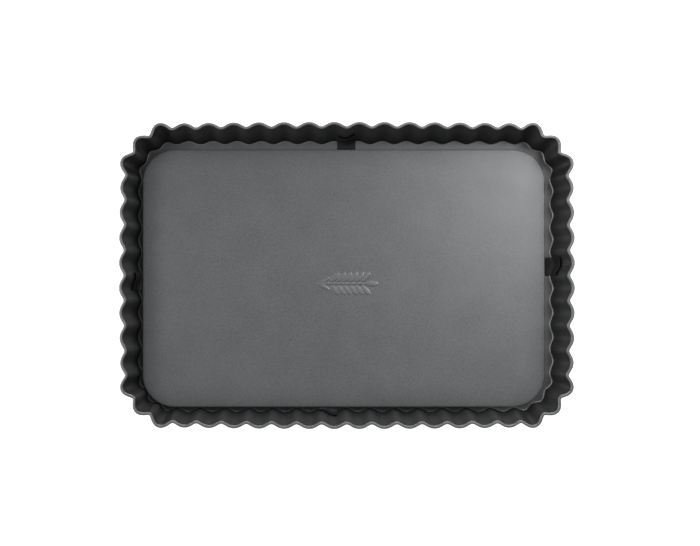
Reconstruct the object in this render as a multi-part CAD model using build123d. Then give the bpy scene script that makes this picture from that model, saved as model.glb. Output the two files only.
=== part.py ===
from build123d import *
import math
import os

# Rectangular fluted tart pan with a loose base.  Millimetres, +Z up.
# The origin is under the middle of the ring, on the surface the pan stands on.
# +X runs along the long side and +Y towards the back.

# --- overall sizes -------------------------------------------------------------------
RIM_LENGTH = 310.0        # over the bead, crest to crest, along X
RIM_WIDTH = 209.0         # over the bead, crest to crest, along Y
HEIGHT = 28.0             # underside of the lip to the top of the bead

# --- sheet ring ----------------------------------------------------------------------
SHEET = 0.7               # sheet thickness
BEAD_WIDTH = 2.2          # rolled rim, inside to outside
BEAD_HEIGHT = 1.8
BEAD_SQUARENESS = 2.6     # 2 is an ellipse, more is flatter on top
BEAD_FLAT = 0.4           # half of the small flat left on top of the bead
RIM_CORNER_RADIUS = 33.6  # crest line at the rim, middle of the sheet
WALL_FLARE = 6.05         # how much that radius shrinks from the rim down to the bend
CORNER_LEAN_X = 1.0       # how far the corner centre moves outwards from rim to bend
CORNER_LEAN_Y = 0.4
SIDE_BOW = 1.05           # each side bulges by this much at the rim, nothing at the bend
BEND_RADIUS = 1.2         # inside of the bend between lip and wall

# --- flutes --------------------------------------------------------------------------
LONG_FLUTES = 14          # on each long straight, an even number
SHORT_FLUTES = 8          # on each short straight, an even number
CORNER_FLUTES = 3         # around each corner
RIM_DEPTH = 3.0           # crest to valley on the straights, at the rim
BEND_DEPTH = 2.2          # the same at the bend
RIM_CORNER_DEPTH = 4.0    # the two valleys inside a corner, at the rim
OUTER_CREST_LIFT = 1.4    # extra reach of a corner's two outer crests, at the rim
MIDDLE_CREST_LIFT = 0.35  # the same for its other crests
CREST_FLATTENING = 0.12   # second harmonic: broad crests, narrower valleys
POINTS_PER_FLUTE = 8

# --- loose base ----------------------------------------------------------------------
PLATE_THICKNESS = 1.0
PLATE_PLAY = 2.6          # gap all round between the centred plate and the wall's ridges
PLATE_SHIFT_X = -0.54     # where the loose plate lies, as a share of that play
PLATE_SHIFT_Y = -0.58
PLATE_EDGE_ROUNDING = 0.3
LIP_OVERLAP = 5.5         # the lip under the edge of the centred plate

# --- black strips --------------------------------------------------------------------
TAPE_WIDTH = 12.8
TAPE_THICKNESS = 0.3
TAPE_SETBACK = 1.0        # the strip's hidden end, short of the edge of the lip's hole
BACK_TAPE_X = 0.4
FRONT_TAPE_X = -12.6
RIGHT_TAPE_Y = 6.7
LEFT_TAPE_Y = -3.5
# height of the strip's top end at its two corners, in the direction of +X or +Y
BACK_TAPE_TOP = (10.5, 14.0)
FRONT_TAPE_TOP = (5.0, 10.5)
RIGHT_TAPE_TOP = (12.0, 14.5)
LEFT_TAPE_TOP = (11.5, 13.0)

# --- raised wheat ear on the base ----------------------------------------------------
EMBLEM_HEIGHT = 0.3
EMBLEM_OFFSET_X = 2.4     # middle of the emblem from the middle of the plate
EMBLEM_OFFSET_Y = -3.8
EMBLEM_LENGTH = 42.7      # end of the stalk to the tip of the ear
STEM_WIDTH = 1.3
GRAIN_LENGTH = 8.4
GRAIN_WIDTH = 3.6
GRAIN_ANGLE = 44.0
GRAIN_PAIRS = 6
GRAIN_PITCH = 4.3
GRAIN_SPREAD = 4.6        # middle of a grain from the stem
LEAF_LENGTH = 9.5
LEAF_WIDTH = 2.6
LEAF_ANGLE = 30.0
LEAF_ROOT = 1.5           # where the leaves leave the stalk, from its end

# --- worked out ----------------------------------------------------------------------
HALF_SHEET = SHEET / 2
BEAD_REACH = BEAD_WIDTH - HALF_SHEET    # outside of the bead from the middle of the sheet
BEAD_MIDDLE = BEAD_WIDTH / 2 - HALF_SHEET
RIM_CENTRE_X = RIM_LENGTH / 2 - BEAD_REACH - SIDE_BOW - RIM_CORNER_RADIUS
RIM_CENTRE_Y = RIM_WIDTH / 2 - BEAD_REACH - SIDE_BOW - RIM_CORNER_RADIUS
BEND_CENTRE_X = RIM_CENTRE_X + CORNER_LEAN_X
BEND_CENTRE_Y = RIM_CENTRE_Y + CORNER_LEAN_Y
BEND_CORNER_RADIUS = RIM_CORNER_RADIUS - WALL_FLARE
PITCH_X = BEND_CENTRE_X / (LONG_FLUTES / 2)
PITCH_Y = BEND_CENTRE_Y / (SHORT_FLUTES / 2)
WALL_RUN = WALL_FLARE + SIDE_BOW - (CORNER_LEAN_X + CORNER_LEAN_Y) / 2   # of a crest, bend to rim
FLARE_ANGLE = math.atan2(WALL_RUN, HEIGHT - SHEET)
PLATE_RADIUS = BEND_CORNER_RADIUS - HALF_SHEET - BEND_DEPTH - PLATE_PLAY
PLATE_LENGTH = 2 * (BEND_CENTRE_X + PLATE_RADIUS)
PLATE_WIDTH = 2 * (BEND_CENTRE_Y + PLATE_RADIUS)
PLATE_BOTTOM = SHEET + TAPE_THICKNESS
PLATE_TOP = PLATE_BOTTOM + PLATE_THICKNESS
HOLE_LENGTH = PLATE_LENGTH - 2 * LIP_OVERLAP
HOLE_WIDTH = PLATE_WIDTH - 2 * LIP_OVERLAP
HOLE_RADIUS = PLATE_RADIUS - LIP_OVERLAP
WALL_ZONE = PLATE_PLAY + RIM_DEPTH + WALL_RUN + BEAD_WIDTH   # from the plate's edge past the rim
TIP_X = (EMBLEM_LENGTH - GRAIN_LENGTH) / 2                   # middle of the grain at the tip
FLUTES_PER_QUARTER = LONG_FLUTES // 2 + CORNER_FLUTES + SHORT_FLUTES // 2


def mix(at_bend, at_rim, level):
    return at_bend + (at_rim - at_bend) * level


def level_at(z):
    """0 at the middle of the lip's sheet and 1 from the middle of the bead upwards."""
    return min((z - HALF_SHEET) / (HEIGHT - BEAD_HEIGHT / 2 - HALF_SHEET), 1.0)


def along_side(count, flutes, pitch, centre):
    """Distance from the middle of a side; the flute next to the corner takes up the lean."""
    regular = flutes / 2 - 1
    if count <= regular:
        return count * pitch
    return regular * pitch + (count - regular) * (centre - regular * pitch)


def quarter_point(count, level):
    """Middle of the sheet in the +X +Y quarter; count is in flutes from the middle of the back."""
    centre_x = mix(BEND_CENTRE_X, RIM_CENTRE_X, level)
    centre_y = mix(BEND_CENTRE_Y, RIM_CENTRE_Y, level)
    radius = mix(BEND_CORNER_RADIUS, RIM_CORNER_RADIUS, level)
    bow = mix(0.0, SIDE_BOW, level)
    corner_start = LONG_FLUTES / 2
    corner_end = corner_start + CORNER_FLUTES
    into_corner = min(count - corner_start, corner_end - count)
    ramp = min(max(2 * into_corner - 1, 0.0), 1.0)
    blend = ramp * ramp * (3 - 2 * ramp)
    rim_depth = mix(RIM_DEPTH, RIM_CORNER_DEPTH, blend)
    lift = 0.0
    if into_corner > 0:
        lift = OUTER_CREST_LIFT if into_corner < 1 else MIDDLE_CREST_LIFT
    phase = 2 * math.pi * count
    dip = mix(BEND_DEPTH, rim_depth, level) * (1 + math.cos(phase)) / 2
    dip -= lift * level * (1 - math.cos(phase)) / 2
    dip -= CREST_FLATTENING * level * (1 - math.cos(2 * phase))
    if count <= corner_start:
        x = along_side(count, LONG_FLUTES, PITCH_X, centre_x)
        return x, centre_y + radius + bow * (1 - (x / centre_x) ** 2) - dip
    if count >= corner_end:
        y = along_side(FLUTES_PER_QUARTER - count, SHORT_FLUTES, PITCH_Y, centre_y)
        return centre_x + radius + bow * (1 - (y / centre_y) ** 2) - dip, y
    angle = math.pi / 2 * (1 - (count - corner_start) / CORNER_FLUTES)
    reach = radius - dip
    return centre_x + reach * math.cos(angle), centre_y + reach * math.sin(angle)


def middle_point(count, level):
    """The same all the way round, clockwise from the middle of the back, by mirroring."""
    quarter, rest = divmod(count, FLUTES_PER_QUARTER)
    quarter = int(quarter) % 4
    mirrored = quarter % 2 == 1
    x, y = quarter_point(FLUTES_PER_QUARTER - rest if mirrored else rest, level)
    sign_x = 1 if quarter in (0, 1) else -1
    sign_y = 1 if quarter in (0, 3) else -1
    return sign_x * x, sign_y * y


def offset_point(count, z, offset):
    """Point and clockwise tangent of the flutes at height z, moved outwards by offset."""
    level = level_at(z)
    step = 1 / POINTS_PER_FLUTE
    before = middle_point(count - step / 4, level)
    after = middle_point(count + step / 4, level)
    tangent = Vector(after[0] - before[0], after[1] - before[1], 0).normalized()
    x, y = middle_point(count, level)
    return Vector(x - offset * tangent.Y, y + offset * tangent.X, z), tangent


def outline(z, offset):
    """Closed fluted wire at height z: one curve to each flute, from valley to valley."""
    edges = []
    for flute in range(4 * FLUTES_PER_QUARTER):
        counts = [flute + index / POINTS_PER_FLUTE for index in range(POINTS_PER_FLUTE + 1)]
        stations = [offset_point(count, z, offset) for count in counts]
        tangents = [stations[0][1], stations[-1][1]]
        edges.append(Edge.make_spline([point for point, _ in stations], tangents=tangents))
    return Wire(edges)


def bend_sections(radius, corner_z, side, steps=3):
    """Height and offset of each section round the bend, from flat lip to flared wall."""
    turn = math.pi / 2 - FLARE_ANGLE
    tangent = radius * math.tan(turn / 2)
    sections = []
    for index in range(steps + 1):
        angle = turn * index / steps
        rise = radius * (1 - math.cos(angle))
        reach = radius * math.sin(angle) - tangent
        sections.append((corner_z + rise, side * HALF_SHEET + reach - rise * math.tan(FLARE_ANGLE)))
    return sections


def squared(value):
    return math.copysign(abs(value) ** (2 / BEAD_SQUARENESS), value)


def bead_sections(angles):
    """Height and offset of points round the rolled rim, angles from outwards towards up."""
    sections = []
    for angle in angles:
        rise = squared(math.sin(math.radians(angle)))
        reach = squared(math.cos(math.radians(angle)))
        sections.append((HEIGHT - BEAD_HEIGHT / 2 * (1 - rise), BEAD_MIDDLE + BEAD_WIDTH / 2 * reach))
    return sections


def stack(sections):
    return Solid.make_loft([outline(z, offset) for z, offset in sections], ruled=True)


def cavity(inset=0.0):
    """The space inside the ring, above its lip, smaller by inset all over."""
    inner_bend = BEND_RADIUS - inset
    sections = [(z, offset - inset) for z, offset in bend_sections(inner_bend, SHEET + inset, -1)]
    sections.append((HEIGHT - BEAD_HEIGHT / 2, -HALF_SHEET - inset))
    return sections


def rounded_prism(length, width, radius, bottom, height):
    return Pos(0, 0, bottom) * extrude(RectangleRounded(length, width, radius), height)


def make_fluted_ring():
    outside = bend_sections(BEND_RADIUS + SHEET, 0.0, 1)
    outside.append((HEIGHT - BEAD_HEIGHT, HALF_SHEET))
    outside += bead_sections((-50, 0, 45))
    outside.append((HEIGHT, BEAD_MIDDLE + BEAD_FLAT))
    inside = cavity() + bead_sections((135,))
    inside.append((HEIGHT, BEAD_MIDDLE - BEAD_FLAT))
    ring = stack(outside) - stack(inside)
    return ring - rounded_prism(HOLE_LENGTH, HOLE_WIDTH, HOLE_RADIUS, -1, SHEET + 2)


def make_tape(lining, plane, outward, hole_half, centre, top):
    """Strip that lines the ring: under the base, over the lip, up the wall to a slanted end."""
    low = centre - TAPE_WIDTH / 2
    high = centre + TAPE_WIDTH / 2
    start = hole_half + TAPE_SETBACK
    side = Polygon((low, 0), (high, 0), (high, top[1]), (low, top[0]), align=None)
    prism = extrude(plane.offset(outward * start) * side, outward * (LIP_OVERLAP + WALL_ZONE))
    return lining & prism


def make_wheat_ear():
    """Flat outline of a wheat ear lying along X, its stalk to the left."""
    stem_length = TIP_X + EMBLEM_LENGTH / 2
    ear = Pos(TIP_X - stem_length / 2, 0) * SlotOverall(stem_length, STEM_WIDTH)
    grain = Ellipse(GRAIN_LENGTH / 2, GRAIN_WIDTH / 2)
    leaf = Ellipse(LEAF_LENGTH / 2, LEAF_WIDTH / 2)
    ear += Pos(TIP_X, 0) * grain
    leaf_reach = (LEAF_LENGTH - LEAF_WIDTH) / 2
    leaf_x = LEAF_ROOT - EMBLEM_LENGTH / 2 + leaf_reach * math.cos(math.radians(LEAF_ANGLE))
    leaf_y = leaf_reach * math.sin(math.radians(LEAF_ANGLE))
    for side in (1, -1):
        for index in range(GRAIN_PAIRS):
            x = TIP_X - GRAIN_LENGTH / 2 - index * GRAIN_PITCH
            ear += Pos(x, side * GRAIN_SPREAD) * Rot(0, 0, side * GRAIN_ANGLE) * grain
        ear += Pos(leaf_x, side * leaf_y) * Rot(0, 0, side * LEAF_ANGLE) * leaf
    return ear


def make_base_plate():
    plate = rounded_prism(PLATE_LENGTH, PLATE_WIDTH, PLATE_RADIUS, PLATE_BOTTOM, PLATE_THICKNESS)
    plate = fillet(plate.faces().sort_by(Axis.Z)[-1].edges(), PLATE_EDGE_ROUNDING)
    plate = fillet(plate.faces().sort_by(Axis.Z)[0].edges(), PLATE_EDGE_ROUNDING)
    root = Pos(EMBLEM_OFFSET_X, EMBLEM_OFFSET_Y, PLATE_TOP - EMBLEM_HEIGHT)
    plate += root * extrude(make_wheat_ear(), 2 * EMBLEM_HEIGHT)
    return Pos(PLATE_SHIFT_X * PLATE_PLAY, PLATE_SHIFT_Y * PLATE_PLAY, 0) * plate


def make_parts():
    lining = stack(cavity()) - stack(cavity(TAPE_THICKNESS))
    half_x = HOLE_LENGTH / 2
    half_y = HOLE_WIDTH / 2
    return {
        "fluted_ring": make_fluted_ring(),
        "base_plate": make_base_plate(),
        "back_tape": make_tape(lining, Plane.XZ, -1, half_y, BACK_TAPE_X, BACK_TAPE_TOP),
        "front_tape": make_tape(lining, Plane.XZ, 1, half_y, FRONT_TAPE_X, FRONT_TAPE_TOP),
        "right_tape": make_tape(lining, Plane.YZ, 1, half_x, RIGHT_TAPE_Y, RIGHT_TAPE_TOP),
        "left_tape": make_tape(lining, Plane.YZ, -1, half_x, LEFT_TAPE_Y, LEFT_TAPE_TOP),
    }


def main():
    os.makedirs("parts", exist_ok=True)
    for name, solid in make_parts().items():
        solid.label = name
        export_step(solid, f"parts/{name}.step")
        box = solid.bounding_box()
        print(name, "volume", round(solid.volume, 1), "size", box.size)


main()
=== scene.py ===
import math

import bpy
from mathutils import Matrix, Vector


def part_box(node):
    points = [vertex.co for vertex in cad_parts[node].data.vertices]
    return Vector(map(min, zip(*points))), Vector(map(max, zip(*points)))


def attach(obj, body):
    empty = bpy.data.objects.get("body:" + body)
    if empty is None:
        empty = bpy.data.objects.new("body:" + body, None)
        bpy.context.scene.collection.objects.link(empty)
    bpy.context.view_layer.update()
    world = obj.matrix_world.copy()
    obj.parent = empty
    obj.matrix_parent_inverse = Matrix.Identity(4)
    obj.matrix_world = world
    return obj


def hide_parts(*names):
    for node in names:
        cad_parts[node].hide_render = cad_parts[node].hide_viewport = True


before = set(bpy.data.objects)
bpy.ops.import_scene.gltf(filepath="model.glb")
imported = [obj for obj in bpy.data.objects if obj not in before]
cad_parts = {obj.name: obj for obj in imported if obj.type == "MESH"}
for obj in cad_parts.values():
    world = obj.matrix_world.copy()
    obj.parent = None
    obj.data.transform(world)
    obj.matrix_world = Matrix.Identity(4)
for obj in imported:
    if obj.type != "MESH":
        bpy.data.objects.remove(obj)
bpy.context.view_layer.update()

# Rectangular fluted tart pan with a loose base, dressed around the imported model.
# Metres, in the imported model's frame: +Z up, +X along the long side, +Y towards the back.

MM = 0.001

# --- sheet ring: the same flute formula as the CAD ring -----------------------------------
SHEET = 0.7 * MM
BEAD_WIDTH = 2.2 * MM
BEAD_HEIGHT = 1.8 * MM
BEAD_SQUARENESS = 2.6
RIM_CORNER_RADIUS = 33.6 * MM
WALL_FLARE = 6.05 * MM
CORNER_LEAN_X = 1.0 * MM
CORNER_LEAN_Y = 0.4 * MM
SIDE_BOW = 1.05 * MM
BEND_RADIUS = 1.2 * MM
LONG_FLUTES = 14
SHORT_FLUTES = 8
CORNER_FLUTES = 3
RIM_DEPTH = 3.0 * MM
BEND_DEPTH = 2.2 * MM
RIM_CORNER_DEPTH = 4.0 * MM
OUTER_CREST_LIFT = 1.4 * MM
MIDDLE_CREST_LIFT = 0.35 * MM
CREST_FLATTENING = 0.12 * MM
COLUMNS_PER_FLUTE = 20
WALL_ROWS = 8
LIP_ROWS = 5
BEND_STEPS = 7
BEAD_STEPS = 18
BEAD_FIRST_ANGLE = -62
BEAD_LAST_ANGLE = 180
CREASE_DROP = 0.1 * MM
LIP_EDGE = 0.15 * MM

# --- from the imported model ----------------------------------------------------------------
_, ring_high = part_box("fluted_ring")
plate_low, plate_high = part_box("base_plate")
HEIGHT = ring_high.z
EMBLEM_HEIGHT = 0.3 * MM
LIP_OVERLAP = 5.5 * MM
PLATE_EDGE_ROUNDING = 0.3 * MM
PLATE_TOP = plate_high.z - EMBLEM_HEIGHT
PLATE_BOTTOM = plate_low.z
PLATE_CENTRE = (plate_low + plate_high) / 2
PLATE_HALF_X = (plate_high.x - plate_low.x) / 2
PLATE_HALF_Y = (plate_high.y - plate_low.y) / 2
HALF_SHEET = SHEET / 2
BEAD_REACH = BEAD_WIDTH - HALF_SHEET
BEAD_MIDDLE = BEAD_WIDTH / 2 - HALF_SHEET
RIM_CENTRE_X = ring_high.x - BEAD_REACH - SIDE_BOW - RIM_CORNER_RADIUS
RIM_CENTRE_Y = ring_high.y - BEAD_REACH - SIDE_BOW - RIM_CORNER_RADIUS
BEND_CENTRE_X = RIM_CENTRE_X + CORNER_LEAN_X
BEND_CENTRE_Y = RIM_CENTRE_Y + CORNER_LEAN_Y
BEND_CORNER_RADIUS = RIM_CORNER_RADIUS - WALL_FLARE
PITCH_X = BEND_CENTRE_X / (LONG_FLUTES / 2)
PITCH_Y = BEND_CENTRE_Y / (SHORT_FLUTES / 2)
WALL_RUN = WALL_FLARE + SIDE_BOW - (CORNER_LEAN_X + CORNER_LEAN_Y) / 2
FLARE_ANGLE = math.atan2(WALL_RUN, HEIGHT - SHEET)
PLATE_RADIUS = PLATE_HALF_X - BEND_CENTRE_X
HOLE_RADIUS = PLATE_RADIUS - LIP_OVERLAP
FLUTES_PER_QUARTER = LONG_FLUTES // 2 + CORNER_FLUTES + SHORT_FLUTES // 2

# --- wheat ear raised on the base ---------------------------------------------------------
EMBLEM_X = 2.4 * MM
EMBLEM_Y = -3.8 * MM
EMBLEM_LENGTH = 42.7 * MM
STEM_WIDTH = 1.3 * MM
GRAIN_LENGTH = 8.4 * MM
GRAIN_WIDTH = 3.6 * MM
GRAIN_ANGLE = 44.0
GRAIN_PAIRS = 6
GRAIN_PITCH = 4.3 * MM
GRAIN_SPREAD = 4.6 * MM
LEAF_LENGTH = 9.5 * MM
LEAF_WIDTH = 2.6 * MM
LEAF_ANGLE = 30.0
LEAF_ROOT = 1.5 * MM
STEM_SHARE = 0.7
EMBLEM_CROWN = 0.35
EMBLEM_SHOULDER = 0.45 * MM
EMBLEM_GRID = 0.25 * MM
EMBLEM_HALF_LENGTH = 22.5 * MM
EMBLEM_HALF_WIDTH = 9.0 * MM
PLATE_GRID = 6.0 * MM
PLATE_CORNER_STEPS = 24
PLATE_EDGE_STEPS = 4
PLATE_RINGS = (0.35, 0.7, 0.93)

# --- black strips -------------------------------------------------------------------------
TAPE_THICKNESS = 0.3 * MM
TAPE_PEEL = 1.0 * MM
TAPE_PEEL_START = 0.35
TAPE_BRIDGE = 3.0 * MM
TAPE_GAP = 0.05 * MM
TAPE_COLUMNS = 24
TAPE_LIP_ROWS = 8
TAPE_BEND_ROWS = 10
TAPE_WALL_ROWS = 16
# node, whether on a long side, outward direction, how much lower one corner of the end is
TAPES = (
    ("back_tape", True, 1, 3.5 * MM),
    ("front_tape", True, -1, 5.5 * MM),
    ("right_tape", False, 1, 2.5 * MM),
    ("left_tape", False, -1, 1.5 * MM),
)

# --- coating ------------------------------------------------------------------------------
RING_DARK = (0.155, 0.156, 0.158)
RING_LIGHT = (0.236, 0.237, 0.239)
# Painted highlight: the top of the rolled rim is paler, in patches.
RING_TOP_HIGHLIGHT = (0.235, 0.235, 0.24)
RING_HIGHLIGHT_FROM = HEIGHT - 1.3 * MM
RING_HIGHLIGHT_TO = HEIGHT - 0.4 * MM
RING_ROUGHNESS = 0.45
BASE_DARK = (0.1375, 0.1425, 0.1455)
BASE_LIGHT = (0.2160, 0.2225, 0.2275)
# Painted highlight: the top of the raised ear is paler, in patches.
BASE_TOP_HIGHLIGHT = (0.236, 0.243, 0.248)
BASE_HIGHLIGHT_FROM = PLATE_TOP + 0.05 * MM
BASE_HIGHLIGHT_TO = PLATE_TOP + EMBLEM_HEIGHT
BASE_ROUGHNESS = 0.40
FLAKE_SIZE = 0.35 * MM
GRAIN_SIZE = 1.1 * MM
CLOUD_SIZE = 26 * MM
FLAKE_SHARE = 0.45
GRAIN_SHARE = 0.40
CLOUD_SHARE = 0.15
SPECKLE_SPREAD = (0.36, 0.64)
# Each shade is a share of the coating's own tone, and each height is where a shade begins or ends. On the
# ring these paint light and shade: painted shade down the wall towards its foot and in the bend, a
# painted highlight along the fold, and a painted shadow on the lip towards the front and left. On the
# base, painted shade towards its edge.
WALL_SHADE = 0.74
WALL_SHADE_TOP = HEIGHT - 8 * MM
# Painted shade: the wall darkens from its upper share down to this share at its foot and in the bend.
BEND_PAINTED_SHADE = 0.30
BEND_FROM = SHEET + 0.15 * MM
BEND_TO = SHEET + 0.6 * MM
LIP_SHADE = 0.66
# Painted highlight: a thin pale line along the fold, just above the lip.
FOLD_PAINTED_HIGHLIGHT = 1.2
FOLD_FROM = SHEET + 0.02 * MM
FOLD_TO = SHEET + 0.12 * MM
# Painted shade on the base: darker towards its edge, over a set width.
EDGE_PAINTED_SHADE = 0.74
EDGE_PAINTED_SHADE_WIDTH = 16.0 * MM
EDGE_PAINTED_SHADE_POWER = 0.5
# Painted shadow on the lip and fold towards the front and left sides.
LIP_SHADOW_SIDE = (0.55, 0.83, 0.0)
LIP_PAINTED_SHADOW = 0.16
LIP_SHADOW_FROM = -30 * MM
LIP_SHADOW_TO = 20 * MM
STRIP_DARK = (0.008, 0.008, 0.009)
STRIP_LIGHT = (0.016, 0.016, 0.017)
STRIP_SPECULAR = 0.2
FIBRE_SIZE = 0.5 * MM
CRUMPLE_SIZE = 3.5 * MM
FIBRE_SPREAD = (0.35, 0.65)

# --- camera and light ---------------------------------------------------------------------
CAMERA_PLACE = Vector((-0.020, -0.015, 0.680))
CAMERA_LENS = 49.4
SENSOR_WIDTH = 36.0
CAMERA_SHIFT = (0.0466, 0.0349)
FLOOR_REACH = 40.0
FLOOR_TONE = 0.86
FLOOR_GLOW = 0.85
ROOM_DIM = 0.10
ROOM_BRIGHT = 0.58
ROOM_TOWARDS = Vector((0.0, 0.1, 1.0))
ROOM_SPREAD = (0.25, 0.90)
# name, place, size, power in watts; each one faces the middle of the pan
LIGHTS = (
    ("key", (0.46, 0.24, 0.90), (0.30, 0.30), 2.05),
    ("fill", (-0.66, 0.08, 0.64), (0.25, 0.25), 1.2),
    ("left", (-0.90, -0.10, 0.35), (0.9, 0.3), 4.0),
    ("back", (0.0, 0.90, 0.35), (0.9, 0.3), 6.5),
)


def mix(low, high, share):
    return low + (high - low) * share


def smooth(share):
    share = min(max(share, 0.0), 1.0)
    return share * share * (3 - 2 * share)


# --- the flute formula --------------------------------------------------------------------
def level_at(z):
    return min((z - HALF_SHEET) / (HEIGHT - BEAD_HEIGHT / 2 - HALF_SHEET), 1.0)


def along_side(count, flutes, pitch, centre):
    regular = flutes / 2 - 1
    if count <= regular:
        return count * pitch
    return regular * pitch + (count - regular) * (centre - regular * pitch)


def rounded_point(count, centre_x, centre_y, radius, bow=0.0, dip=0.0):
    """A point of a rounded rectangle, counted in flutes from the middle of the back."""
    corner_start = LONG_FLUTES / 2
    corner_end = corner_start + CORNER_FLUTES
    if count <= corner_start:
        x = along_side(count, LONG_FLUTES, PITCH_X, centre_x)
        return x, centre_y + radius + bow * (1 - (x / centre_x) ** 2) - dip
    if count >= corner_end:
        y = along_side(FLUTES_PER_QUARTER - count, SHORT_FLUTES, PITCH_Y, centre_y)
        return centre_x + radius + bow * (1 - (y / centre_y) ** 2) - dip, y
    angle = math.pi / 2 * (1 - (count - corner_start) / CORNER_FLUTES)
    reach = radius - dip
    return centre_x + reach * math.cos(angle), centre_y + reach * math.sin(angle)


def fluted_quarter(count, level):
    corner_start = LONG_FLUTES / 2
    into_corner = min(count - corner_start, corner_start + CORNER_FLUTES - count)
    rim_depth = mix(RIM_DEPTH, RIM_CORNER_DEPTH, smooth(2 * into_corner - 1))
    lift = 0.0
    if into_corner > 0:
        lift = OUTER_CREST_LIFT if into_corner < 1 else MIDDLE_CREST_LIFT
    phase = 2 * math.pi * count
    dip = mix(BEND_DEPTH, rim_depth, level) * (1 + math.cos(phase)) / 2
    dip -= lift * level * (1 - math.cos(phase)) / 2
    dip -= CREST_FLATTENING * level * (1 - math.cos(2 * phase))
    return rounded_point(
        count,
        mix(BEND_CENTRE_X, RIM_CENTRE_X, level),
        mix(BEND_CENTRE_Y, RIM_CENTRE_Y, level),
        mix(BEND_CORNER_RADIUS, RIM_CORNER_RADIUS, level),
        mix(0.0, SIDE_BOW, level),
        dip,
    )


def all_round(quarter_function, count, *values):
    """Carries a quarter's outline round the whole pan, clockwise from the middle of the back."""
    quarter, rest = divmod(count, FLUTES_PER_QUARTER)
    quarter = int(quarter) % 4
    if quarter % 2 == 1:
        rest = FLUTES_PER_QUARTER - rest
    x, y = quarter_function(rest, *values)
    return (x if quarter in (0, 1) else -x), (y if quarter in (0, 3) else -y)


def fluted_point(count, z, offset):
    """Point on the fluted sheet at height z, moved outwards from its middle by offset."""
    level = level_at(z)
    step = 0.25 / COLUMNS_PER_FLUTE
    before = all_round(fluted_quarter, count - step, level)
    after = all_round(fluted_quarter, count + step, level)
    run_x = after[0] - before[0]
    run_y = after[1] - before[1]
    run = math.hypot(run_x, run_y)
    x, y = all_round(fluted_quarter, count, level)
    return Vector((x - offset * run_y / run, y + offset * run_x / run, z))


def concentric_point(count, z, radius):
    x, y = all_round(rounded_point, count, BEND_CENTRE_X, BEND_CENTRE_Y, radius)
    return Vector((x, y, z))


# --- mesh helpers -------------------------------------------------------------------------
def new_object(name, points, faces, smooth_shading=True):
    mesh = bpy.data.meshes.new(name)
    mesh.from_pydata(points, [], faces)
    mesh.validate()
    mesh.update()
    for polygon in mesh.polygons:
        polygon.use_smooth = smooth_shading
    piece = bpy.data.objects.new(name, mesh)
    bpy.context.scene.collection.objects.link(piece)
    return piece


def torus_faces(columns, rows):
    """Quads over a grid that closes both ways; point index is column * rows + row."""
    faces = []
    for column in range(columns):
        following = (column + 1) % columns
        for row in range(rows):
            above = (row + 1) % rows
            faces.append((
                column * rows + row,
                column * rows + above,
                following * rows + above,
                following * rows + row,
            ))
    return faces


# --- fluted ring --------------------------------------------------------------------------
def bend_sections(radius, corner_z, side):
    """Height and offset along one face of the fold between lip and wall."""
    turn = math.pi / 2 - FLARE_ANGLE
    tangent = radius * math.tan(turn / 2)
    sections = []
    for index in range(BEND_STEPS + 1):
        angle = turn * index / BEND_STEPS
        rise = radius * (1 - math.cos(angle))
        reach = radius * math.sin(angle) - tangent
        sections.append((corner_z + rise, side * HALF_SHEET + reach - rise * math.tan(FLARE_ANGLE)))
    return sections


def squared(value):
    return math.copysign(abs(value) ** (2 / BEAD_SQUARENESS), value)


def bead_sections():
    """Height and offset round the rolled rim, from its crease under the outside to the inner wall."""
    sections = []
    for index in range(BEAD_STEPS + 1):
        angle = math.radians(mix(BEAD_FIRST_ANGLE, BEAD_LAST_ANGLE, index / BEAD_STEPS))
        z = HEIGHT - BEAD_HEIGHT / 2 * (1 - squared(math.sin(angle)))
        sections.append((z, BEAD_MIDDLE + BEAD_WIDTH / 2 * squared(math.cos(angle))))
    return sections


def wall_sections(start, end):
    """Rows between two sections, both left out."""
    return [
        (mix(start[0], end[0], row / WALL_ROWS), mix(start[1], end[1], row / WALL_ROWS))
        for row in range(1, WALL_ROWS)
    ]


def make_ring():
    """Lip, fold, wall and bead as one closed sheet, one column of points after another."""
    outer_bend = bend_sections(BEND_RADIUS + SHEET, 0.0, 1)
    inner_bend = bend_sections(BEND_RADIUS, SHEET, -1)
    bead = bead_sections()
    crease = (bead[0][0] - CREASE_DROP, HALF_SHEET)
    outer = outer_bend + wall_sections(outer_bend[-1], crease) + [crease] + bead
    inner = wall_sections(bead[-1], inner_bend[-1]) + inner_bend[::-1]
    columns = 4 * FLUTES_PER_QUARTER * COLUMNS_PER_FLUTE
    points = []
    for column in range(columns):
        count = column / COLUMNS_PER_FLUTE
        under = concentric_point(count, 0.0, HOLE_RADIUS + LIP_EDGE)
        over = concentric_point(count, SHEET, HOLE_RADIUS + LIP_EDGE)
        fold_under = fluted_point(count, *outer[0])
        fold_over = fluted_point(count, *inner[-1])
        points.append(concentric_point(count, SHEET - LIP_EDGE, HOLE_RADIUS))
        points.append(concentric_point(count, LIP_EDGE, HOLE_RADIUS))
        points += [under.lerp(fold_under, row / LIP_ROWS) for row in range(LIP_ROWS)]
        points += [fluted_point(count, z, offset) for z, offset in outer + inner]
        points += [fold_over.lerp(over, row / LIP_ROWS) for row in range(1, LIP_ROWS + 1)]
    rows = len(points) // columns
    return new_object("pan_ring", points, torus_faces(columns, rows))


# --- base plate ---------------------------------------------------------------------------
def ellipse_rise(x, y, centre_x, centre_y, length, width, degrees):
    """Height from 0 to 1 of a softly shouldered, slightly crowned ellipse."""
    angle = math.radians(degrees)
    run_x = x - centre_x
    run_y = y - centre_y
    along = run_x * math.cos(angle) + run_y * math.sin(angle)
    across = run_y * math.cos(angle) - run_x * math.sin(angle)
    ratio = math.hypot(2 * along / length, 2 * across / width)
    shoulder = smooth((1 - ratio) * width / 2 / EMBLEM_SHOULDER + 0.5)
    return shoulder * (1 - EMBLEM_CROWN * min(ratio, 1.0) ** 2)


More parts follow.
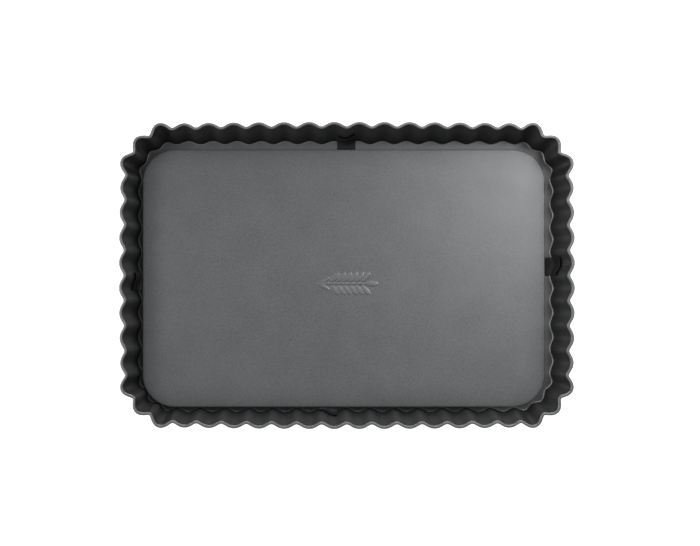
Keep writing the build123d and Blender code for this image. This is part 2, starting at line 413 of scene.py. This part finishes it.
def wheat_ear_height(x, y):
    tip_x = (EMBLEM_LENGTH - GRAIN_LENGTH) / 2
    rises = [ellipse_rise(x, y, tip_x, 0.0, GRAIN_LENGTH, GRAIN_WIDTH, 0.0)]
    stem_gap = max(-EMBLEM_LENGTH / 2 + STEM_WIDTH / 2 - x, x - tip_x, 0.0)
    stem_distance = STEM_WIDTH / 2 - math.hypot(stem_gap, y)
    rises.append(STEM_SHARE * smooth(stem_distance / EMBLEM_SHOULDER + 0.5))
    leaf_reach = (LEAF_LENGTH - LEAF_WIDTH) / 2
    leaf_x = LEAF_ROOT - EMBLEM_LENGTH / 2 + leaf_reach * math.cos(math.radians(LEAF_ANGLE))
    leaf_y = leaf_reach * math.sin(math.radians(LEAF_ANGLE))
    for side in (1, -1):
        for index in range(GRAIN_PAIRS):
            grain_x = tip_x - GRAIN_LENGTH / 2 - index * GRAIN_PITCH
            rises.append(ellipse_rise(
                x, y, grain_x, side * GRAIN_SPREAD, GRAIN_LENGTH, GRAIN_WIDTH, side * GRAIN_ANGLE))
        rises.append(ellipse_rise(
            x, y, leaf_x, side * leaf_y, LEAF_LENGTH, LEAF_WIDTH, side * LEAF_ANGLE))
    return EMBLEM_HEIGHT * max(rises)


def graded_lines(half, fine_centre, fine_half):
    """Grid lines from -half to half: fine around the emblem, coarse elsewhere."""
    low = fine_centre - fine_half
    high = fine_centre + fine_half
    before = max(round((low + half) / PLATE_GRID), 1)
    within = round((high - low) / EMBLEM_GRID)
    after = max(round((half - high) / PLATE_GRID), 1)
    lines = [mix(-half, low, step / before) for step in range(before)]
    lines += [mix(low, high, step / within) for step in range(within)]
    lines += [mix(high, half, step / after) for step in range(after + 1)]
    return lines


def make_plate():
    """Top as a grid with the raised ear, then rows over the rounded edge and under to a flat back."""
    half_x = PLATE_HALF_X - PLATE_RADIUS
    half_y = PLATE_HALF_Y - PLATE_RADIUS
    lines_x = graded_lines(half_x, EMBLEM_X, EMBLEM_HALF_LENGTH)
    lines_y = graded_lines(half_y, EMBLEM_Y, EMBLEM_HALF_WIDTH)
    points = []
    faces = []
    for level in (1, 0):
        for y in lines_y:
            for x in lines_x:
                rise = wheat_ear_height(x - EMBLEM_X, y - EMBLEM_Y) if level else 0.0
                points.append((x, y, (PLATE_TOP if level else PLATE_BOTTOM) + rise))
    wide = len(lines_x)
    deep = len(lines_y)
    under = wide * deep
    for level in (1, 0):
        first = 0 if level else under
        for row in range(deep - 1):
            for column in range(wide - 1):
                a = first + row * wide + column
                quad = (a, a + 1, a + 1 + wide, a + wide)
                faces.append(quad if level else quad[::-1])

    # Walk round the inner rectangle once, counter-clockwise, with the outward direction at each
    # point; a corner point is visited several times while the direction turns.
    walk = []
    border = (
        [(column, 0) for column in range(wide)],
        [(wide - 1, row) for row in range(deep)],
        [(column, deep - 1) for column in range(wide - 1, -1, -1)],
        [(0, row) for row in range(deep - 1, -1, -1)],
    )
    for side, cells in enumerate(border):
        direction = -math.pi / 2 + side * math.pi / 2
        walk += [(cell, direction) for cell in cells]
        walk += [
            (cells[-1], direction + math.pi / 2 * step / PLATE_CORNER_STEPS)
            for step in range(1, PLATE_CORNER_STEPS)
        ]
    rounding = PLATE_EDGE_ROUNDING
    arc = [math.pi / 2 * step / PLATE_EDGE_STEPS for step in range(PLATE_EDGE_STEPS + 1)]
    reaches = [PLATE_RADIUS * share for share in PLATE_RINGS]
    profile = [(reach, PLATE_TOP) for reach in reaches]
    profile += [
        (PLATE_RADIUS - rounding * (1 - math.sin(angle)), PLATE_TOP - rounding * (1 - math.cos(angle)))
        for angle in arc
    ]
    profile += [
        (PLATE_RADIUS - rounding * (1 - math.cos(angle)), PLATE_BOTTOM + rounding * (1 - math.sin(angle)))
        for angle in arc
    ]
    profile += [(reach, PLATE_BOTTOM) for reach in reversed(reaches)]
    start = len(points)
    for (column, row), direction in walk:
        for reach, z in profile:
            points.append((
                lines_x[column] + reach * math.cos(direction),
                lines_y[row] + reach * math.sin(direction),
                z,
            ))
    rows = len(profile)
    for index, ((column, row), _) in enumerate(walk):
        following = (index + 1) % len(walk)
        next_column, next_row = walk[following][0]
        top = row * wide + column
        next_top = next_row * wide + next_column
        a = start + index * rows
        b = start + following * rows
        if top == next_top:
            faces.append((top, a, b))
            faces.append((under + top, b + rows - 1, a + rows - 1))
        else:
            faces.append((top, a, b, next_top))
            faces.append((under + next_top, b + rows - 1, a + rows - 1, under + top))
        for step in range(rows - 1):
            faces.append((a + step, a + step + 1, b + step + 1, b + step))
    shift = Vector((PLATE_CENTRE.x, PLATE_CENTRE.y, 0.0))
    return new_object("pan_base", [Vector(point) + shift for point in points], faces)


# --- black strips -------------------------------------------------------------------------
def wall_reach(along, z, on_long_side):
    """How far out the wall's inner face is at one place along a side."""
    if on_long_side:
        count = abs(along) / PITCH_X
    else:
        count = FLUTES_PER_QUARTER - abs(along) / PITCH_Y
    x, y = fluted_quarter(count, level_at(z))
    return (y if on_long_side else x) - HALF_SHEET / math.cos(FLARE_ANGLE)


def curve(start, corner, end, t):
    """Place at share t along a curve that leaves start and reaches end, aiming at corner both times."""
    return (1 - t) ** 2 * start + 2 * t * (1 - t) * corner + t * t * end


def make_tape(node, on_long_side, outward, slant):
    """A thin strip from under the base, bridging the bend, up the wall to a slanted, lifted end."""
    low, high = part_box(node)
    first, last = (low.x, high.x) if on_long_side else (low.y, high.y)
    inner_end = min(abs(low.y), abs(high.y)) if on_long_side else min(abs(low.x), abs(high.x))
    middle = SHEET + TAPE_THICKNESS / 2
    points = []
    for column in range(TAPE_COLUMNS + 1):
        share = column / TAPE_COLUMNS
        along = mix(first, last, share)
        top = high.z - slant * (1 - share)
        bend_z = middle + TAPE_BRIDGE
        corner = wall_reach(along, SHEET, on_long_side) - TAPE_THICKNESS / 2
        bend_out = wall_reach(along, bend_z, on_long_side) - TAPE_THICKNESS / 2
        bend_start = corner - TAPE_BRIDGE
        line = []
        for row in range(TAPE_LIP_ROWS):
            line.append((mix(inner_end, bend_start, row / TAPE_LIP_ROWS), middle))
        for row in range(TAPE_BEND_ROWS + 1):
            t = row / TAPE_BEND_ROWS
            out = curve(bend_start, corner, bend_out, t)
            line.append((out, curve(middle, middle, bend_z, t)))
        for row in range(1, TAPE_WALL_ROWS + 1):
            t = row / TAPE_WALL_ROWS
            z = mix(bend_z, top, t)
            lift = TAPE_PEEL * smooth((t - TAPE_PEEL_START) / (1 - TAPE_PEEL_START)) + TAPE_GAP
            line.append((wall_reach(along, z, on_long_side) - TAPE_THICKNESS / 2 - lift, z))
        for out, z in line:
            points.append((along, outward * out, z) if on_long_side else (outward * out, along, z))
    rows = len(points) // (TAPE_COLUMNS + 1)
    faces = []
    for column in range(TAPE_COLUMNS):
        for row in range(rows - 1):
            a = column * rows + row
            faces.append((a, a + 1, a + 1 + rows, a + rows))
    tape = new_object(node + "_strip", points, faces)
    solid = tape.modifiers.new("thickness", "SOLIDIFY")
    solid.thickness = TAPE_THICKNESS
    solid.offset = 0.0
    return tape


# --- materials ----------------------------------------------------------------------------
def new_material(name):
    material = bpy.data.materials.new(name)
    material.use_nodes = True
    nodes = material.node_tree.nodes
    shader = nodes["Principled BSDF"]
    return material, nodes, material.node_tree.links, shader


def noise(nodes, links, coordinates, size, detail=2.0, roughness=0.5):
    """A noise pattern whose features are about this size, in metres."""
    texture = nodes.new("ShaderNodeTexNoise")
    texture.inputs["Scale"].default_value = 1.0 / size
    texture.inputs["Detail"].default_value = detail
    texture.inputs["Roughness"].default_value = roughness
    links.new(coordinates, texture.inputs["Vector"])
    return texture.outputs["Fac"]


def ranged(nodes, links, value, low, high, from_low=0.3, from_high=0.7):
    node = nodes.new("ShaderNodeMapRange")
    node.inputs["From Min"].default_value = from_low
    node.inputs["From Max"].default_value = from_high
    node.inputs["To Min"].default_value = low
    node.inputs["To Max"].default_value = high
    links.new(value, node.inputs["Value"])
    return node.outputs["Result"]


def feed(links, value, socket):
    """Links another node's output to this socket, or sets the socket to a plain value."""
    if isinstance(value, bpy.types.NodeSocket):
        links.new(value, socket)
    else:
        socket.default_value = value


def math_node(nodes, links, operation, first, second):
    node = nodes.new("ShaderNodeMath")
    node.operation = operation
    feed(links, first, node.inputs[0])
    feed(links, second, node.inputs[1])
    return node.outputs["Value"]


def vector_node(nodes, links, operation, first, second=None):
    node = nodes.new("ShaderNodeVectorMath")
    node.operation = operation
    feed(links, first, node.inputs[0])
    if second is not None:
        feed(links, second, node.inputs[1])
    return node.outputs["Value" if operation in ("LENGTH", "DOT_PRODUCT") else "Vector"]


def grey_ramp(nodes, links, value, dark, light):
    ramp = nodes.new("ShaderNodeValToRGB")
    ramp.color_ramp.elements[0].position = 0.0
    ramp.color_ramp.elements[0].color = (*dark, 1.0)
    ramp.color_ramp.elements[1].position = 1.0
    ramp.color_ramp.elements[1].color = (*light, 1.0)
    links.new(value, ramp.inputs["Fac"])
    return ramp.outputs["Color"]


def blend_colours(nodes, links, factor, first, second):
    mixer = nodes.new("ShaderNodeMix")
    mixer.data_type = "RGBA"
    links.new(factor, mixer.inputs["Factor"])
    links.new(first, mixer.inputs["A"])
    links.new(second, mixer.inputs["B"])
    return mixer.outputs["Result"]


def bump(nodes, links, height, strength, distance, below=None):
    """Bump from this height, laid over another bump if there is one."""
    node = nodes.new("ShaderNodeBump")
    node.inputs["Strength"].default_value = strength
    node.inputs["Distance"].default_value = distance
    links.new(height, node.inputs["Height"])
    if below is not None:
        links.new(below, node.inputs["Normal"])
    return node.outputs["Normal"]


def painted_foot_light(nodes, links, place):
    """Painted highlight along the fold, painted shade in the bend above it and down the wall towards its
    foot, and painted shadow on the lip towards the front and left.
    """
    height = nodes.new("ShaderNodeSeparateXYZ")
    links.new(place, height.inputs["Vector"])
    z = height.outputs["Z"]
    # Painted shade: darker down the wall towards its foot.
    wall = ranged(nodes, links, z, BEND_PAINTED_SHADE, WALL_SHADE, SHEET, WALL_SHADE_TOP)
    # Painted highlight along the fold, over the lip's own share.
    fold = ranged(nodes, links, z, LIP_SHADE, FOLD_PAINTED_HIGHLIGHT, FOLD_FROM, FOLD_TO)
    # Painted shadow: the lip and fold darken towards the front and left.
    near_side = vector_node(nodes, links, "DOT_PRODUCT", place, LIP_SHADOW_SIDE)
    lip_shadow = ranged(nodes, links, near_side, LIP_PAINTED_SHADOW, 1.0, LIP_SHADOW_FROM, LIP_SHADOW_TO)
    lip = math_node(nodes, links, "MULTIPLY", fold, lip_shadow)
    above = ranged(nodes, links, z, 0.0, 1.0, BEND_FROM, BEND_TO)
    below = math_node(nodes, links, "SUBTRACT", 1.0, above)
    return math_node(nodes, links, "ADD",
                     math_node(nodes, links, "MULTIPLY", wall, above),
                     math_node(nodes, links, "MULTIPLY", lip, below))


def painted_edge_shade(nodes, links, place):
    """Painted shade: 1 over the flat of the base, darker over a set width before its edge."""
    half = (PLATE_HALF_X - PLATE_RADIUS, PLATE_HALF_Y - PLATE_RADIUS, 1.0)
    centred = vector_node(nodes, links, "SUBTRACT", place, (PLATE_CENTRE.x, PLATE_CENTRE.y, 0.0))
    beyond = vector_node(nodes, links, "SUBTRACT",
                         vector_node(nodes, links, "ABSOLUTE", centred), half)
    reach = vector_node(nodes, links, "LENGTH",
                        vector_node(nodes, links, "MAXIMUM", beyond, (0.0, 0.0, 0.0)))
    inside = ranged(nodes, links, reach, 1.0, 0.0, PLATE_RADIUS - EDGE_PAINTED_SHADE_WIDTH, PLATE_RADIUS)
    shade = math_node(nodes, links, "POWER", inside, EDGE_PAINTED_SHADE_POWER)
    return ranged(nodes, links, shade, EDGE_PAINTED_SHADE, 1.0, 0.0, 1.0)


def coated_steel(name, dark, light, top_highlight, highlight_from, highlight_to, roughness, painted_light_function):
    """Dark non-stick coating: metallic flake, orange peel, a painted highlight that makes the highest
    parts paler in patches, and painted light and shade from the given function.
    """
    material, nodes, links, shader = new_material(name)
    place = nodes.new("ShaderNodeTexCoord").outputs["Object"]
    flake = noise(nodes, links, place, FLAKE_SIZE, detail=1.0)
    grain = noise(nodes, links, place, GRAIN_SIZE, detail=3.0, roughness=0.6)
    cloud = noise(nodes, links, place, CLOUD_SIZE, detail=3.0)
    speckle = math_node(nodes, links, "ADD",
                        math_node(nodes, links, "MULTIPLY", flake, FLAKE_SHARE),
                        math_node(nodes, links, "MULTIPLY", grain, GRAIN_SHARE))
    tone = math_node(nodes, links, "ADD", speckle,
                     math_node(nodes, links, "MULTIPLY", cloud, CLOUD_SHARE))
    spread = ranged(nodes, links, tone, 0.0, 1.0, *SPECKLE_SPREAD)
    plain = grey_ramp(nodes, links, spread, dark, light)
    # Painted light and shade from the given function scale the coating's tone.
    coating = vector_node(nodes, links, "MULTIPLY", plain, painted_light_function(nodes, links, place))
    # Painted highlight: the highest parts turn paler, in patches with the grain.
    highlight_colour = grey_ramp(nodes, links, spread, [0.8 * part for part in top_highlight], top_highlight)
    height = nodes.new("ShaderNodeSeparateXYZ")
    links.new(place, height.inputs["Vector"])
    highlight_mask = ranged(nodes, links, height.outputs["Z"], 0.0, 1.0, highlight_from, highlight_to)
    patchy_highlight = math_node(nodes, links, "MULTIPLY", highlight_mask, ranged(nodes, links, grain, 0.7, 1.0))
    links.new(blend_colours(nodes, links, patchy_highlight, coating, highlight_colour), shader.inputs["Base Color"])
    links.new(ranged(nodes, links, grain, roughness - 0.04, roughness + 0.05), shader.inputs["Roughness"])
    shader.inputs["Metallic"].default_value = 1.0
    peel = bump(nodes, links, grain, 0.35, 0.03 * MM)
    links.new(bump(nodes, links, flake, 0.35, 0.012 * MM, peel), shader.inputs["Normal"])
    return material


def strip_material():
    """Matt black strip with a faint fibre grain and soft creases."""
    material, nodes, links, shader = new_material("black_strip_look")
    place = nodes.new("ShaderNodeTexCoord").outputs["Object"]
    fibre = noise(nodes, links, place, FIBRE_SIZE, detail=4.0, roughness=0.7)
    crumple = noise(nodes, links, place, CRUMPLE_SIZE, detail=2.0)
    spread = ranged(nodes, links, fibre, 0.0, 1.0, *FIBRE_SPREAD)
    colour = grey_ramp(nodes, links, spread, STRIP_DARK, STRIP_LIGHT)
    links.new(colour, shader.inputs["Base Color"])
    links.new(ranged(nodes, links, fibre, 0.5, 0.66), shader.inputs["Roughness"])
    shader.inputs["Specular IOR Level"].default_value = STRIP_SPECULAR
    folds = bump(nodes, links, crumple, 0.5, 0.15 * MM)
    links.new(bump(nodes, links, fibre, 0.4, 0.03 * MM, folds), shader.inputs["Normal"])
    return material


def floor_material():
    material, _, _, shader = new_material("floor_look")
    shader.inputs["Base Color"].default_value = (FLOOR_TONE, FLOOR_TONE, FLOOR_TONE, 1.0)
    shader.inputs["Roughness"].default_value = 0.7
    shader.inputs["Emission Color"].default_value = (1.0, 1.0, 1.0, 1.0)
    shader.inputs["Emission Strength"].default_value = FLOOR_GLOW
    return material


# --- stage --------------------------------------------------------------------------------
def make_floor():
    corners = [
        (x * FLOOR_REACH, y * FLOOR_REACH, 0.0)
        for x, y in ((-1, -1), (1, -1), (1, 1), (-1, 1))
    ]
    floor = new_object("floor", corners, [(0, 1, 2, 3)], smooth_shading=False)
    floor.data.materials.append(floor_material())


def make_light(name, place, size, power):
    light = bpy.data.lights.new(name, "AREA")
    light.shape = "RECTANGLE"
    light.size = size[0]
    light.size_y = size[1]
    light.energy = power
    lamp = bpy.data.objects.new(name, light)
    lamp.location = place
    lamp.rotation_mode = "QUATERNION"
    lamp.rotation_quaternion = (-Vector(place)).to_track_quat("-Z", "Y")
    bpy.context.scene.collection.objects.link(lamp)


def make_world():
    """Plain studio room, dim below and brighter towards its ceiling, before a white backdrop."""
    world = bpy.data.worlds.new("studio")
    world.use_nodes = True
    nodes = world.node_tree.nodes
    links = world.node_tree.links
    direction = nodes.new("ShaderNodeTexCoord").outputs["Generated"]
    facing = vector_node(nodes, links, "DOT_PRODUCT", direction, ROOM_TOWARDS.normalized())
    strength = ranged(nodes, links, facing, ROOM_DIM, ROOM_BRIGHT, *ROOM_SPREAD)
    backdrop = nodes.new("ShaderNodeLightPath").outputs["Is Camera Ray"]
    strength = math_node(nodes, links, "MAXIMUM", strength, backdrop)
    nodes["Background"].inputs["Color"].default_value = (1.0, 1.0, 1.0, 1.0)
    links.new(strength, nodes["Background"].inputs["Strength"])
    bpy.context.scene.world = world


def make_camera():
    data = bpy.data.cameras.new("camera")
    data.sensor_width = SENSOR_WIDTH
    data.lens = CAMERA_LENS
    data.shift_x, data.shift_y = CAMERA_SHIFT
    data.clip_start = 0.05
    data.clip_end = 100.0
    camera = bpy.data.objects.new("camera", data)
    camera.location = CAMERA_PLACE
    bpy.context.scene.collection.objects.link(camera)
    bpy.context.scene.camera = camera


def dress(piece, body, node, material):
    piece.data.materials.append(material)
    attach(piece, body)
    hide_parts(node)


ring_look = coated_steel(
    "ring_look", RING_DARK, RING_LIGHT, RING_TOP_HIGHLIGHT,
    RING_HIGHLIGHT_FROM, RING_HIGHLIGHT_TO, RING_ROUGHNESS, painted_foot_light)
base_look = coated_steel(
    "base_look", BASE_DARK, BASE_LIGHT, BASE_TOP_HIGHLIGHT,
    BASE_HIGHLIGHT_FROM, BASE_HIGHLIGHT_TO, BASE_ROUGHNESS, painted_edge_shade)
strip_look = strip_material()

dress(make_ring(), "ring", "fluted_ring", ring_look)
dress(make_plate(), "base", "base_plate", base_look)
for node, on_long_side, outward, slant in TAPES:
    tape = make_tape(node, on_long_side, outward, slant)
    dress(tape, "ring", node, strip_look)

make_floor()
make_world()
for name, place, size, power in LIGHTS:
    make_light(name, place, size, power)
make_camera()
bpy.context.scene.view_settings.view_transform = "Standard"
